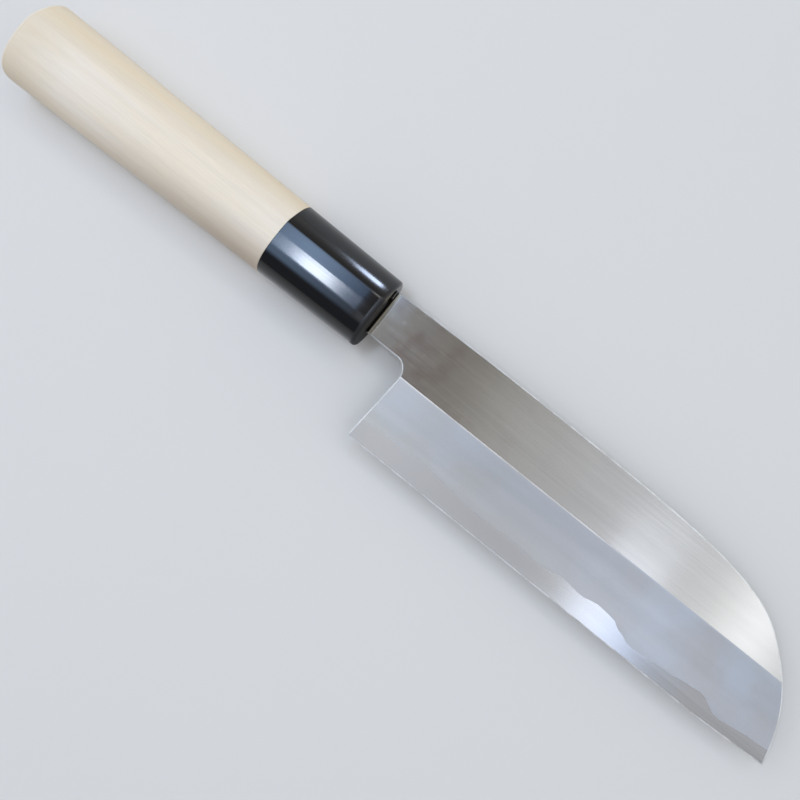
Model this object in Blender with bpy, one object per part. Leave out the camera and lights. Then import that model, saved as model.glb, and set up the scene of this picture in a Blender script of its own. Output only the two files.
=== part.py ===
# A mentori knife: a short single-bevel vegetable knife in a D-section wooden handle.
# It lies on its back with the bevelled side up. All sizes are in metres.

import math

import bmesh
import bpy
from mathutils import Matrix, Vector

# Blade outline. X runs from the shoulder, where the blade meets the ferrule, to the tip.
# Y runs towards the spine from the handle's axis.
blade_length = 0.150
spine_height = 0.0086
shoulder_spine_height = 0.0080
spine_crest_x = 0.039
edge_depth = 0.03015
neck_depth = 0.00576
heel_x = 0.0144
heel_slant = 0.0015
choil_length = 0.0038
choil_depth = 0.0045
nose_length = 0.0184
nose_drop = 0.0095
nose_angle = math.radians(38.4)
tip_angle = math.radians(76)
tip_lift = 0.00105
edge_sweep = 0.030

# How far each curve of the outline keeps its direction, as a share of its run
shoulder_share = 0.25
crest_share = 0.64
nose_share = 0.16
nose_fall_share = 0.84
tip_share = 0.55
sweep_share = 0.45
choil_share = 0.55

# Blade thickness. Z rises from the flat back to the bevelled side.
shoulder_thickness = 0.0030
tip_thickness = 0.0020
steel_thickness = 0.0008
edge_thickness = 0.00006
bevel_height = 0.0207
steel_setback = 0.0065

# The hollow ground into the back
hollow_depth = 0.0003
hollow_lip_share = 0.05
hollow_end_fullness = 6
spine_rim = 0.0026
edge_rim = 0.0016
heel_rim = 0.0035
tip_rim = 0.0035

# Tang
tang_length = 0.080
tang_root_height = 0.0105
tang_end_height = 0.0050
tang_root_thickness = 0.0026
tang_end_thickness = 0.0020

# Handle. It tapers evenly from the butt to the front of the ferrule.
handle_length = 0.121
ferrule_length = 0.0327
butt_height = 0.0252
front_height = 0.0213
butt_thickness = 0.0214
front_thickness = 0.0183
ferrule_rounding = 0.0010
butt_rounding = 0.0014

# The handle's section: 2 is an ellipse's fullness, and more is squarer.
bevel_side_share = 0.54
spine_quarter_fullness = 1.71
edge_quarter_fullness = 2.75
back_fullness = 2.2
ridge_place = 0.355
ridge_rise = 0.0005
ridge_spread = 0.0042

# Tenon and fits
tenon_diameter = 0.0140
tenon_length = 0.0210
fit_gap = 0.0003
tang_end_room = 0.0020

# How finely the curved shapes are divided
curve_steps = 14
section_points = 64
rounding_steps = 5
round_sides = 48
grind_steps_x = 30
grind_steps_y = 10
weld_distance = 0.000001
straight_angle = math.radians(0.1)
search_share = 0.0001

# The handle and the tang are centred on the blade's thickness at the shoulder.
axis_z = shoulder_thickness / 2
# A cutter runs this far past what it cuts.
overrun = 2 * shoulder_thickness

for old in list(bpy.data.objects):
    bpy.data.objects.remove(old)
knife = bpy.data.collections.new("mentori_knife")
cutters = bpy.data.collections.new("cutters")
for collection in (knife, cutters):
    bpy.context.scene.collection.children.link(collection)
cutters.hide_render = True


def new_material(name, color, roughness, metallic):
    material = bpy.data.materials.new(name)
    material.use_nodes = True
    shader = material.node_tree.nodes["Principled BSDF"]
    shader.inputs["Base Color"].default_value = (*color, 1)
    shader.inputs["Roughness"].default_value = roughness
    shader.inputs["Metallic"].default_value = metallic
    return material


def new_object(name, bm, group):
    """Turns a bmesh into an object of the group, with its faces pointing outwards."""
    bmesh.ops.recalc_face_normals(bm, faces=bm.faces)
    mesh = bpy.data.meshes.new(name)
    bm.to_mesh(mesh)
    bm.free()
    piece = bpy.data.objects.new(name, mesh)
    group.objects.link(piece)
    if group == cutters:
        piece.hide_render = True
        piece.display_type = "WIRE"
    return piece


def apply_boolean(piece, other, operation):
    modifier = piece.modifiers.new(f"{operation.title()} {other.name}", "BOOLEAN")
    modifier.object = other
    modifier.operation = operation


def block(name, low, high):
    """A cutting block between two corners."""
    bm = bmesh.new()
    size = Vector(high) - Vector(low)
    middle = (Vector(high) + Vector(low)) / 2
    bmesh.ops.create_cube(bm, size=1, matrix=Matrix.Translation(middle) @ Matrix.Diagonal((*size, 1)))
    return new_object(name, bm, cutters)


def round_bar(name, diameter, back_x, front_x):
    """A round bar on the handle's axis, to cut with or to join on."""
    bm = bmesh.new()
    middle = Matrix.Translation(((back_x + front_x) / 2, 0, axis_z))
    bmesh.ops.create_cone(
        bm,
        cap_ends=True,
        segments=round_sides,
        radius1=diameter / 2,
        radius2=diameter / 2,
        depth=front_x - back_x,
        matrix=middle @ Matrix.Rotation(math.pi / 2, 4, "Y"),
    )
    return new_object(name, bm, cutters)


def tapered_bar(name, room):
    """The tang, rooted a little way inside the neck, or the hole for it when it has room round it."""
    bm = bmesh.new()
    bmesh.ops.create_cube(bm, size=1)
    for vert in bm.verts:
        at_root = vert.co.x > 0
        height = tang_root_height if at_root else tang_end_height
        thickness = tang_root_thickness if at_root else tang_end_thickness
        end = -tang_length - (tang_end_room if room else 0)
        vert.co.x = overrun / 2 if at_root else end
        vert.co.y *= height + 2 * room
        vert.co.z = vert.co.z * (thickness + 2 * room) + axis_z
    return new_object(name, bm, cutters)


def outline_points():
    """The blade's outline as Bezier points: (place, handle before it, handle after it)."""
    fall = Vector((math.cos(nose_angle), -math.sin(nose_angle)))
    to_tip = Vector((math.cos(tip_angle), -math.sin(tip_angle)))
    shoulder_top = Vector((0, shoulder_spine_height))
    crest = Vector((spine_crest_x, spine_height))
    nose = Vector((blade_length - nose_length, spine_height - nose_drop))
    tip = Vector((blade_length, tip_lift - edge_depth))
    sweep_start = Vector((blade_length - edge_sweep, -edge_depth))
    heel_corner = Vector((heel_x - heel_slant, -edge_depth))
    heel_top = Vector((heel_x, -neck_depth - choil_depth))
    neck_end = Vector((heel_x - choil_length, -neck_depth))
    shoulder_bottom = Vector((0, -neck_depth))
    back_run = Vector((crest.x, 0))
    nose_run = nose.x - crest.x
    sweep_run = Vector((edge_sweep, 0))
    sweep_end = tip - sweep_share * sweep_run - Vector((0, tip_lift)) / 2
    return [
        (shoulder_top, shoulder_top, shoulder_top.lerp(crest, shoulder_share)),
        (crest, crest - shoulder_share * back_run, crest + Vector((crest_share * nose_run, 0))),
        (nose, nose - nose_share * nose_run * fall, nose + nose_fall_share * nose_length * fall),
        (tip, tip - tip_share * nose_length * to_tip, sweep_end),
        (sweep_start, sweep_start + sweep_share * sweep_run, sweep_start),
        (heel_corner, heel_corner, heel_corner),
        (heel_top, heel_top, heel_top + Vector((0, choil_share * choil_depth))),
        (neck_end, neck_end + Vector((choil_share * choil_length, 0)), neck_end),
        (shoulder_bottom, shoulder_bottom, shoulder_bottom),
    ]


def spine_y(x):
    """The height of the blade's upper outline at x, from the shoulder to the tip."""
    upper = outline_points()[:4]
    for (start, _, leaving), (end, arriving, _) in zip(upper, upper[1:]):
        if x > end.x:
            continue
        low, high = 0, 1
        while high - low > search_share:
            t = (low + high) / 2
            s = 1 - t
            place = s**3 * start + 3 * s * s * t * leaving + 3 * s * t * t * arriving + t**3 * end
            low, high = (t, high) if place.x < x else (low, t)
        return place.y
    return upper[-1][0].y


def blade_blank(name, thickness):
    """A flat plate with the blade's outline, lying on its back."""
    curve = bpy.data.curves.new(name, "CURVE")
    curve.dimensions = "2D"
    curve.fill_mode = "BOTH"
    curve.resolution_u = curve_steps
    curve.extrude = thickness / 2
    spline = curve.splines.new("BEZIER")
    points = outline_points()
    spline.bezier_points.add(len(points) - 1)
    for point, (place, before, after) in zip(spline.bezier_points, points):
        point.co = (*place, 0)
        point.handle_left = (*before, 0)
        point.handle_right = (*after, 0)
    spline.use_cyclic_u = True
    outline = bpy.data.objects.new(name + "_outline", curve)
    knife.objects.link(outline)
    flat = bpy.data.meshes.new_from_object(outline.evaluated_get(bpy.context.evaluated_depsgraph_get()))
    bpy.data.objects.remove(outline)
    bm = bmesh.new()
    bm.from_mesh(flat)
    bmesh.ops.remove_doubles(bm, verts=bm.verts, dist=weld_distance)
    # Points along the straight sides go, and triangles keep every face truly flat for the cuts.
    bmesh.ops.dissolve_limit(bm, angle_limit=straight_angle, verts=bm.verts, edges=bm.edges)
    bmesh.ops.triangulate(bm, faces=bm.faces)
    bmesh.ops.translate(bm, verts=bm.verts, vec=(0, 0, thickness / 2))
    return new_object(name, bm, knife)


def grinding_cutter(name, start, end, across, height, far_side):
    """A block from start to end whose face follows height(x, y) between the two sides across(x)."""
    bm = bmesh.new()
    bmesh.ops.create_grid(bm, x_segments=grind_steps_x, y_segments=grind_steps_y, size=0.5)
    for vert in bm.verts:
        x = start + (end - start) * (vert.co.x + 0.5)
        low, high = across(x)
        y = low + (high - low) * (vert.co.y + 0.5)
        vert.co = (x, y, height(x, y))
    made = bmesh.ops.extrude_face_region(bm, geom=bm.faces[:])["geom"]
    for item in made:
        if isinstance(item, bmesh.types.BMVert):
            item.co.z = far_side
    # The ground face twists a little, so it is cut into flat triangles.
    bmesh.ops.triangulate(bm, faces=bm.faces)
    return new_object(name, bm, cutters)


def blade_thickness(x):
    """The thickness of the blade's flat at x, which falls evenly from the shoulder to the tip."""
    return shoulder_thickness + (tip_thickness - shoulder_thickness) * x / blade_length


def taper_cutter():
    """Thins the blade evenly from the shoulder to the tip."""

    def across(_):
        return -edge_depth - overrun, spine_height + overrun

    def height(x, _):
        return blade_thickness(x)

    return grinding_cutter("taper_grind", -overrun, blade_length + overrun, across, height, 2 * overrun)


def bevel_cutter():
    """Takes the blade down from the bevel's ridge line to the cutting edge."""

    def across(_):
        return -edge_depth - overrun, bevel_height - edge_depth + overrun

    def height(x, y):
        share = (y + edge_depth) / bevel_height
        return edge_thickness + share * (blade_thickness(x) - edge_thickness)

    return grinding_cutter("bevel_grind", -overrun, blade_length + overrun, across, height, 2 * overrun)


def hollow_cutter():
    """Dishes the back, leaving a flat rim along the spine, edge, heel and tip."""
    start = heel_x + heel_rim
    end = blade_length - tip_rim
    lip = hollow_depth * hollow_lip_share

    def across(x):
        low = edge_rim - edge_depth
        return low, max(spine_y(x) - spine_rim, low + edge_rim)

    def height(x, y):
        low, high = across(x)
        along = 2 * (x - start) / (end - start) - 1
        over = 2 * (y - low) / (high - low) - 1
        return hollow_depth * (1 - over**2) * (1 - along**hollow_end_fullness) - lip

    return grinding_cutter("back_hollow", start, end, across, height, -overrun)


def handle_size(x):
    """The handle's height and thickness at x, before its ends are rounded."""
    share = -x / handle_length
    height = front_height + (butt_height - front_height) * share
    thickness = front_thickness + (butt_thickness - front_thickness) * share
    return height, thickness


def section_place(turn, x, inset):
    """A point of the D section: an uneven oval with one soft ridge on the bevelled side."""
    height, thickness = handle_size(x)
    up, out = math.cos(turn), math.sin(turn)
    if out < 0:
        depth = thickness * (1 - bevel_side_share)
        fullness = back_fullness
    else:
        depth = thickness * bevel_side_share
        fullness = edge_quarter_fullness if up < 0 else spine_quarter_fullness
    half = height / 2 - inset
    y = math.copysign(abs(up) ** (2 / fullness), up) * half
    z = math.copysign(abs(out) ** (2 / fullness), out) * (depth - inset)
    away = abs(y - ridge_place * half) / ridge_spread
    if out > 0 and away < 1:
        z += ridge_rise * (1 - away) ** 2
    return Vector((x, y, z + axis_z))


def section_turns():
    """Even turns round the section, with the one nearest the ridge moved onto it."""
    turns = [2 * math.pi * i / section_points for i in range(section_points)]
    ridge_turn = math.acos(ridge_place ** (spine_quarter_fullness / 2))
    nearest = min(range(section_points), key=lambda i: abs(turns[i] - ridge_turn))
    turns[nearest] = ridge_turn
    return turns


def rounded_end(x, outwards, radius):
    """The (x, inset) steps of a rounded end, from the full section to the flat face at x."""
    steps = []
    for i in range(rounding_steps + 1):
        angle = math.pi / 2 * i / rounding_steps
        steps.append((x - outwards * radius * (1 - math.sin(angle)), radius * (1 - math.cos(angle))))
    return steps


def handle_solid(name, stations):
    """Lofts the D section through the stations, each an (x, inset) pair."""
    bm = bmesh.new()
    rings = []
    for x, inset in stations:
        verts = bmesh.ops.create_circle(bm, radius=1, segments=section_points)["verts"]
        for vert, turn in zip(verts, section_turns()):
            vert.co = section_place(turn, x, inset)
        rings.append({edge for vert in verts for edge in vert.link_edges})
    for ring, following in zip(rings, rings[1:]):
        bmesh.ops.bridge_loops(bm, edges=list(ring | following))
    for ring in (rings[0], rings[-1]):
        bmesh.ops.edgeloop_fill(bm, edges=list(ring))
    piece = new_object(name, bm, knife)
    piece.data.shade_smooth()
    piece.data.set_sharp_from_angle(angle=math.radians(30))
    return piece


def make_iron_body(taper, bevel):
    """The soft-iron body: spine, neck, shoulder and tang. It lies on the steel from the setback on."""
    body = blade_blank("soft_iron_body", shoulder_thickness + overrun / 2)
    bed_start = (steel_setback, -edge_depth - overrun, -overrun)
    bed_end = (blade_length + overrun, spine_height + overrun, steel_thickness)
    apply_boolean(body, block("steel_bed", bed_start, bed_end), "DIFFERENCE")
    apply_boolean(body, taper, "DIFFERENCE")
    apply_boolean(body, bevel, "DIFFERENCE")
    apply_boolean(body, tapered_bar("tang", 0), "UNION")
    body.data.materials.append(new_material("soft iron", (0.36, 0.37, 0.39), 0.38, 1))
    return body


def make_steel_layer(bevel):
    """The hard steel welded under the iron. It makes the back and the cutting edge."""
    layer = blade_blank("hard_steel_layer", steel_thickness)
    neck_start = (-overrun, -edge_depth - overrun, -overrun)
    neck_end = (steel_setback, spine_height + overrun, overrun)
    apply_boolean(layer, block("neck_side", neck_start, neck_end), "DIFFERENCE")
    apply_boolean(layer, bevel, "DIFFERENCE")
    apply_boolean(layer, hollow_cutter(), "DIFFERENCE")
    layer.data.materials.append(new_material("hard steel", (0.56, 0.58, 0.60), 0.2, 1))
    return layer


def make_ferrule():
    """The horn ferrule: rounded in front, bored for the tenon and slotted for the tang."""
    stations = [(-ferrule_length, 0)] + rounded_end(-fit_gap, 1, ferrule_rounding)
    ferrule = handle_solid("horn_ferrule", stations)
    bore_end = -ferrule_length + tenon_length + fit_gap
    bore = round_bar("tenon_bore", tenon_diameter + 2 * fit_gap, -ferrule_length - overrun, bore_end)
    apply_boolean(ferrule, bore, "DIFFERENCE")
    apply_boolean(ferrule, tapered_bar("tang_slot", fit_gap), "DIFFERENCE")
    ferrule.data.materials.append(new_material("black horn", (0.008, 0.008, 0.01), 0.15, 0))
    return ferrule


def make_grip():
    """The wooden grip: a rounded butt, a round tenon in front and a blind hole for the tang."""
    stations = rounded_end(-handle_length, -1, butt_rounding)[::-1] + [(-ferrule_length, 0)]
    grip = handle_solid("wooden_grip", stations)
    tenon = round_bar("tenon", tenon_diameter, -ferrule_length - overrun, -ferrule_length + tenon_length)
    apply_boolean(grip, tenon, "UNION")
    apply_boolean(grip, tapered_bar("tang_hole", fit_gap), "DIFFERENCE")
    grip.data.materials.append(new_material("pale wood", (0.74, 0.66, 0.55), 0.6, 0))
    return grip


def place_on_surface():
    """Puts the origin at the middle of the box round the knife, on the surface that it lies on."""
    stand = bpy.data.objects.new("knife_origin", None)
    knife.objects.link(stand)
    middle_x = (blade_length - handle_length) / 2
    middle_y = (max(butt_height / 2, spine_height) - edge_depth) / 2
    lowest = axis_z - butt_thickness * (1 - bevel_side_share)
    stand.location = (-middle_x, -middle_y, -lowest)
    for piece in list(knife.objects) + list(cutters.objects):
        if piece != stand:
            piece.parent = stand


shared_bevel = bevel_cutter()
make_iron_body(taper_cutter(), shared_bevel)
make_steel_layer(shared_bevel)
make_ferrule()
make_grip()
place_on_surface()
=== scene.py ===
# Looks of a mentori knife: a forged single-bevel blade in a D-section handle of
# magnolia wood, with a black horn ferrule.
import math

import bmesh
import bpy
from mathutils import Matrix, Vector
from mathutils.geometry import interpolate_bezier


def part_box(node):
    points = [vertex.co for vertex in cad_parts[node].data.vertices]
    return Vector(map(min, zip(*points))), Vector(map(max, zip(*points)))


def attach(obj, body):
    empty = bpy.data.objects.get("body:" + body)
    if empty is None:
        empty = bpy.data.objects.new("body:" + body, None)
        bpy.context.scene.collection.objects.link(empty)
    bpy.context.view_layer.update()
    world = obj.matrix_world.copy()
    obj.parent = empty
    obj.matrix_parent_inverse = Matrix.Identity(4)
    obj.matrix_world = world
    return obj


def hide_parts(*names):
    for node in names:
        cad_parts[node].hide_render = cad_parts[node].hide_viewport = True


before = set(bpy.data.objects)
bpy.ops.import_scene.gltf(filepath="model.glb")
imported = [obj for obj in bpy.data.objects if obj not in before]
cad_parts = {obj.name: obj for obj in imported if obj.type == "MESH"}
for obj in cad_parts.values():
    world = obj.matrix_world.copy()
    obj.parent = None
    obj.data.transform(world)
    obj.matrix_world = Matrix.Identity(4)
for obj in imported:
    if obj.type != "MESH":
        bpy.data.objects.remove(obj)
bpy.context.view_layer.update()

# Lengths are in millimetres. x runs from the shoulder to the tip, y from the handle's
# axis to the spine, and z up from the blade's flat back.
blade = {
    "length": 150.0,
    "spineHeight": 8.6,
    "shoulderSpineHeight": 8.0,
    "spineCrest": 39.0,        # where along the blade its spine stands highest
    "edgeDepth": 30.15,
    "neckDepth": 5.76,
    "heel": 14.4,
    "heelSlant": 1.5,
    "choilLength": 3.8,
    "choilDepth": 4.5,
    "noseLength": 18.4,
    "noseDrop": 9.5,
    "noseAngle": math.radians(38.4),
    "tipAngle": math.radians(76),
    "tipLift": 1.05,
    "edgeSweep": 30.0,         # over this length the edge lifts to the tip
    # how far the handles of the outline's curves reach, as shares of their stretches
    "spineReach": 0.25,
    "crestReach": 0.64,
    "noseReach": 0.16,
    "fallReach": 0.84,
    "tipReach": 0.55,
    "sweepReach": 0.45,
    "choilReach": 0.55,
    "shoulderThickness": 3.0,
    "tipThickness": 2.0,
    "edgeThickness": 0.06,
    "bevelHeight": 20.7,
    "easing": (0.06, 0.30),    # where the two strips of an eased edge end
    "easingDrop": (0.13, 0.055),
    "honedSlope": 0.24,        # the last strip that the whetstone leaves at the edge
    "honedThickness": 0.02,
    "seat": (0.60, 0.72, 0.84),    # the scored line beside the shoulder
    "seatDrop": 0.04,
    "ridgeRounding": 0.18,
    "ridgeDrop": 0.012,
    "curveSteps": 36,          # points along each curve of the outline
    "station": 2.0,            # spacing of the cuts across the blade
    "row": 3.0,                # spacing of the cuts along it
    "onCut": 1e-4,             # points this close to a cut lie on it
    "weldedPoints": 0.005,     # cuts that meet this closely share a point
    "broadCrease": 2.5,        # degrees from which an edge of the broad faces is crisp
    "wallCrease": 20,
}

# A face whose normal has less z than wallLean stands as a wall; one with more than
# broadLean lies as broadly as the flat and the bevel do.
wallLean = 0.3
broadLean = 0.9
atPlace = 1e-3    # points this near to a place along the blade stand there

axisHeight = blade["shoulderThickness"] / 2    # of the handle and its tang
ridgeY = blade["bevelHeight"] - blade["edgeDepth"]
metre = 1000    # in millimetres
grindScale = 10    # of the UV map, for each metre

# The shoulder's place in the frame, from the CAD parts themselves
steelLow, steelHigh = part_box("hard_steel_layer")
shoulder = Vector((
    steelHigh.x - blade["length"] / metre,
    steelLow.y + blade["edgeDepth"] / metre,
    steelLow.z,
))


# Turns the millimetre model into an object in the frame, hangs it on the root body and hides the
# CAD part that it stands for.
def finishPiece(bm, name, node, materials):
    bmesh.ops.scale(bm, vec=(1 / metre, 1 / metre, 1 / metre), verts=bm.verts)
    bmesh.ops.translate(bm, vec=shoulder, verts=bm.verts)
    grind = bm.loops.layers.uv.new("grind")    # runs lengthwise, for the brushed metals
    for face in bm.faces:
        for loop in face.loops:
            x, y, z = loop.vert.co
            loop[grind].uv = (grindScale * (x + z), grindScale * (y + z))
    mesh = bpy.data.meshes.new(name)
    bm.to_mesh(mesh)
    bm.free()
    piece = bpy.data.objects.new(name, mesh)
    bpy.context.scene.collection.objects.link(piece)
    for material in materials:
        mesh.materials.append(material)
    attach(piece, "root")
    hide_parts(node)
    print(f"{name}: {len(mesh.polygons)} faces")


# The corners of the blade's outline, each with the handles of the curves that meet there
def outlineKnots():
    b = blade
    fall = Vector((math.cos(b["noseAngle"]), -math.sin(b["noseAngle"]), 0))
    toTip = Vector((math.cos(b["tipAngle"]), -math.sin(b["tipAngle"]), 0))
    shoulderTop = Vector((0, b["shoulderSpineHeight"], 0))
    crest = Vector((b["spineCrest"], b["spineHeight"], 0))
    nose = Vector((b["length"] - b["noseLength"], b["spineHeight"] - b["noseDrop"], 0))
    tip = Vector((b["length"], b["tipLift"] - b["edgeDepth"], 0))
    sweepStart = Vector((b["length"] - b["edgeSweep"], -b["edgeDepth"], 0))
    heelCorner = Vector((b["heel"] - b["heelSlant"], -b["edgeDepth"], 0))
    heelTop = Vector((b["heel"], -b["neckDepth"] - b["choilDepth"], 0))
    neckEnd = Vector((b["heel"] - b["choilLength"], -b["neckDepth"], 0))
    shoulderBottom = Vector((0, -b["neckDepth"], 0))
    run = Vector((crest.x, 0, 0))
    ahead = Vector((nose.x - crest.x, 0, 0))
    entry = b["noseReach"] * ahead.x * fall
    leaving = b["fallReach"] * b["noseLength"] * fall
    arriving = b["tipReach"] * b["noseLength"] * toTip
    sweep = Vector((b["sweepReach"] * b["edgeSweep"], 0, 0))
    lift = Vector((0, b["tipLift"] / 2, 0))
    choilUp = Vector((0, b["choilReach"] * b["choilDepth"], 0))
    choilAlong = Vector((b["choilReach"] * b["choilLength"], 0, 0))
    return [
        (shoulderTop, shoulderTop, shoulderTop.lerp(crest, b["spineReach"])),
        (crest, crest - b["spineReach"] * run, crest + b["crestReach"] * ahead),
        (nose, nose - entry, nose + leaving),
        (tip, tip - arriving, tip - sweep - lift),
        (sweepStart, sweepStart + sweep, sweepStart),
        (heelCorner, heelCorner, heelCorner),
        (heelTop, heelTop, heelTop + choilUp),
        (neckEnd, neckEnd + choilAlong, neckEnd),
        (shoulderBottom, shoulderBottom, shoulderBottom),
    ]


# One list of points for each side of the outline, without its last point
def outlineSides(knots):
    drawn = []
    for (start, _, leaving), (end, arriving, _) in zip(knots, knots[1:] + knots[:1]):
        straight = leaving == start and arriving == end
        steps = 2 if straight else blade["curveSteps"]
        drawn.append(interpolate_bezier(start, leaving, arriving, end, steps)[:-1])
    return drawn


knots = outlineKnots()
sides = outlineSides(knots)
tipPoint, heelPoint, neckPoint = knots[3][0], knots[5][0], knots[8][0]
spineLine = sides[0] + sides[1] + sides[2] + [tipPoint]
edgeLine = sides[3] + sides[4] + [heelPoint]
heelLine = [heelPoint] + sides[6] + sides[7] + [neckPoint]
outline = spineLine + edgeLine[1:] + heelLine[1:]


# The height of a line of the outline at x, or of its nearer end
def heightOf(line, x):
    for start, end in zip(line, line[1:]):
        if min(start.x, end.x) <= x <= max(start.x, end.x) and start.x != end.x:
            return start.y + (end.y - start.y) * (x - start.x) / (end.x - start.x)
    return min((line[0], line[-1]), key=lambda point: abs(point.x - x)).y


def distanceTo(line, x, y):
    nearest = math.inf
    for start, end in zip(line, line[1:]):
        alongX, alongY = end.x - start.x, end.y - start.y
        length = alongX * alongX + alongY * alongY or 1
        share = min(max(((x - start.x) * alongX + (y - start.y) * alongY) / length, 0), 1)
        away = math.hypot(start.x + share * alongX - x, start.y + share * alongY - y)
        nearest = min(nearest, away)
    return nearest


def flatHeight(x):
    thinning = blade["tipThickness"] - blade["shoulderThickness"]
    return blade["shoulderThickness"] + thinning * x / blade["length"]


def bevelHeightAt(x, y):
    edgeY = heightOf(edgeLine, x)
    share = (y - edgeY) / (ridgeY - edgeY)
    return blade["edgeThickness"] + share * (flatHeight(x) - blade["edgeThickness"])


# How much an eased edge has fallen at this place
def easedDrop(x, y):
    distance = min(distanceTo(spineLine, x, y), distanceTo(heelLine, x, y))
    near, far = blade["easing"]
    atOutline, atNear = blade["easingDrop"]
    if distance < near:
        return atOutline + (atNear - atOutline) * distance / near
    return max(0, atNear * (far - distance) / (far - near))


def topHeight(x, y):
    height = min(flatHeight(x), bevelHeightAt(x, y))
    height -= blade["ridgeDrop"] * max(0, 1 - abs(y - ridgeY) / blade["ridgeRounding"])
    honed = blade["honedThickness"] + blade["honedSlope"] * distanceTo(edgeLine, x, y)
    drop = easedDrop(x, y)
    _, seatMiddle, seatEnd = blade["seat"]
    drop += blade["seatDrop"] * max(0, 1 - abs(x - seatMiddle) / (seatEnd - seatMiddle))
    return min(height - drop * min(1, height), honed)


# The hollow ground into the back
hollow = {
    "depth": 0.3,
    "lip": 0.015,          # the bowl's first shallow strip, left flat
    "spineRim": 2.6,
    "edgeRim": 1.6,
    "heelRim": 3.5,
    "tipRim": 3.5,
    "endFullness": 6,      # of its ends: 2 is round, more is squarer
    "easingShare": 0.4,    # of the drop of the upper side's eased edges
}


def backHeight(x, y):
    thickness = min(flatHeight(x), bevelHeightAt(x, y))
    start = blade["heel"] + hollow["heelRim"]
    end = blade["length"] - hollow["tipRim"]
    low = hollow["edgeRim"] - blade["edgeDepth"]
    high = max(heightOf(spineLine, x) - hollow["spineRim"], low + hollow["edgeRim"])
    along = 2 * (x - start) / (end - start) - 1
    across = 2 * (y - low) / (high - low) - 1
    dish = 0
    if abs(along) < 1 and abs(across) < 1:
        bowl = (1 - across ** 2) * (1 - along ** hollow["endFullness"])
        dish = hollow["depth"] * bowl - hollow["lip"]
    return max(easedDrop(x, y) * min(1, thickness) * hollow["easingShare"], dish)


# The forge weld between iron and steel. It thins towards the tip, and where the bevel
# cuts it, it shows as a wavy cloud line: places along the blade and how far it strays.
weld = {
    "setback": 6.5,        # from the shoulder to where the steel starts
    "heelThickness": 0.90,
    "tipThickness": 0.53,
    "rim": 0.4,            # inside this border the joint lies deeper
    "rimDrop": 0.15,
    "wave": [
        (12, 0.0), (22, 0.5), (35, 1.1), (45, 0.1), (54, -0.5), (64, 0.2), (72, -0.3),
        (81, 0.9), (87, 0.3), (92, 1.3), (97, 1.0), (101, -0.7), (105, -2.1), (110, -1.4),
        (116, -0.9), (123, 0.1), (127, 0.7), (130, -0.7), (133, -2.0), (138, -1.3),
        (143, -0.5), (150, 0.0),
    ],
}

weldSlope = (weld["tipThickness"] - weld["heelThickness"]) / blade["length"]


def weldHeight(x):
    return weld["heelThickness"] + weldSlope * x


# The cloud line on the bevel: where the weld would show, and its wave on top
def cloudAt(x):
    b = blade
    rise = (weldHeight(x) - b["edgeThickness"]) / (flatHeight(x) - b["edgeThickness"])
    stray = 0
    for (startX, startY), (endX, endY) in zip(weld["wave"], weld["wave"][1:]):
        if startX <= x <= endX:
            share = (x - startX) / (endX - startX)
            stray = startY + (endY - startY) * (3 - 2 * share) * share * share    # eases in and out
    return rise * b["bevelHeight"] - b["edgeDepth"] + stray


# Scribes a line y = lineAt(x) across faces that are already cut into narrow strips.
def scribe(bm, faces, lineAt):
    made = set()
    for edge in dict.fromkeys(edge for face in faces for edge in face.edges):
        start, end = edge.verts
        offStart = start.co.y - lineAt(start.co.x)
        offEnd = end.co.y - lineAt(end.co.x)
        if offStart * offEnd < 0:
            share = offStart / (offStart - offEnd)
            made.add(bmesh.utils.edge_split(edge, start, share)[1])
    for face in faces:
        onLine = [vert for vert in face.verts if vert in made]
        if len(onLine) == 2:
            bmesh.utils.face_split(face, onLine[0], onLine[1])


# Cuts the whole blade at every place along one axis.
def cutAt(bm, places, axis):
    for place in places:
        bmesh.ops.bisect_plane(
            bm, geom=bm.verts[:] + bm.edges[:] + bm.faces[:], dist=blade["onCut"],
            plane_co=place * axis, plane_no=axis,
        )


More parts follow.
